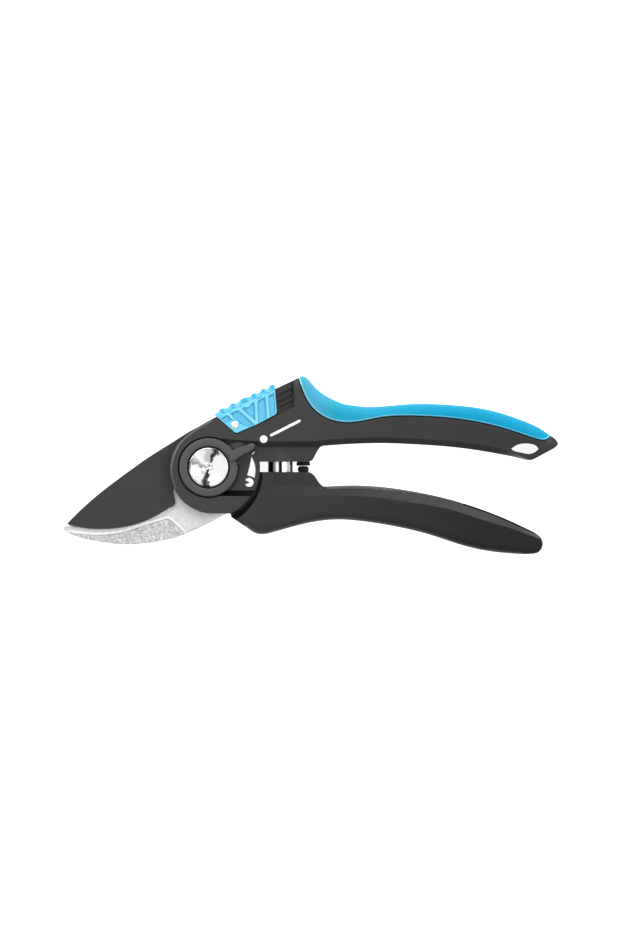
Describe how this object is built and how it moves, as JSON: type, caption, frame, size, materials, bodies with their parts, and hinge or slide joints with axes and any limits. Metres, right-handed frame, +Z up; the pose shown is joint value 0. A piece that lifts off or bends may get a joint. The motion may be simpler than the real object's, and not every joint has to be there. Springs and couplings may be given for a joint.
{
  "type": "bypass pruner",
  "caption": "Hand bypass pruner: a coated blade passes a steel hook about one pivot, with opening dial, sliding lock, volute spring and soft grip.",
  "frame": {"origin": "on the pivot's axis, in the plane that the tool lies on (the nut's flat face)", "axes": "+X from the pivot towards the handles' tails, +Y across the tool towards the handle with the soft grip, +Z up through the thickness, towards the dial side"},
  "size_m": [0.2104, 0.0757, 0.0198],
  "materials": {
    "black_plastic": "fine moulded grain",
    "grey_plastic": "satin moulded",
    "blue_rubber": "soft matt, moulded over",
    "black_rubber": "matt",
    "blue_clear_plastic": "translucent, glossy",
    "bright_steel": "ground and satin",
    "black_coating": "smooth non-stick coating",
    "chrome": "polished",
    "polished_steel": "polished",
    "plain_steel": "zinc plated",
    "bronze": "turned"
  },
  "bodies": {
    "upper_side": {"upper_handle": "black_plastic", "upper_grip": "blue_rubber", "counter_blade": "bright_steel", "counter_blade_pins": "plain_steel", "lock_detent_spring": "plain_steel", "pivot_bolt": "chrome", "pivot_nut": "plain_steel", "rear_washer": "plain_steel", "pivot_bushing": "bronze", "dial_spring_washer": "plain_steel", "stop_stub": "black_plastic"},
    "lower_side": {"lower_handle": "black_plastic", "lower_inner_strip": "grey_plastic", "cutting_blade": "black_coating", "cutting_blade_pins": "plain_steel", "limit_pin": "plain_steel", "spring_peg": "plain_steel", "volute_spring": "polished_steel", "bumper": "black_rubber"},
    "lock": {"lock_slider": "blue_clear_plastic", "lock_plate": "plain_steel", "lock_pin": "polished_steel"},
    "dial": {"dial_ring": "grey_plastic", "dial_cam": "grey_plastic"}
  },
  "joints": [
    {"name": "main_pivot", "type": "hinge", "parent": "upper_side", "child": "lower_side", "pos_m": [0, 0, 0], "axis": [0, 0, -1], "range_deg": [0, 28], "deforming": ["volute_spring"]},
    {"name": "lock_slide", "type": "slide", "parent": "upper_side", "child": "lock", "axis": [0.9036, 0.4283, 0], "range_m": [0, 0.0075]},
    {"name": "dial_turn", "type": "hinge", "parent": "upper_side", "child": "dial", "pos_m": [0, 0, 0], "axis": [0, 0, -1], "range_deg": [0, 46]}
  ]
}
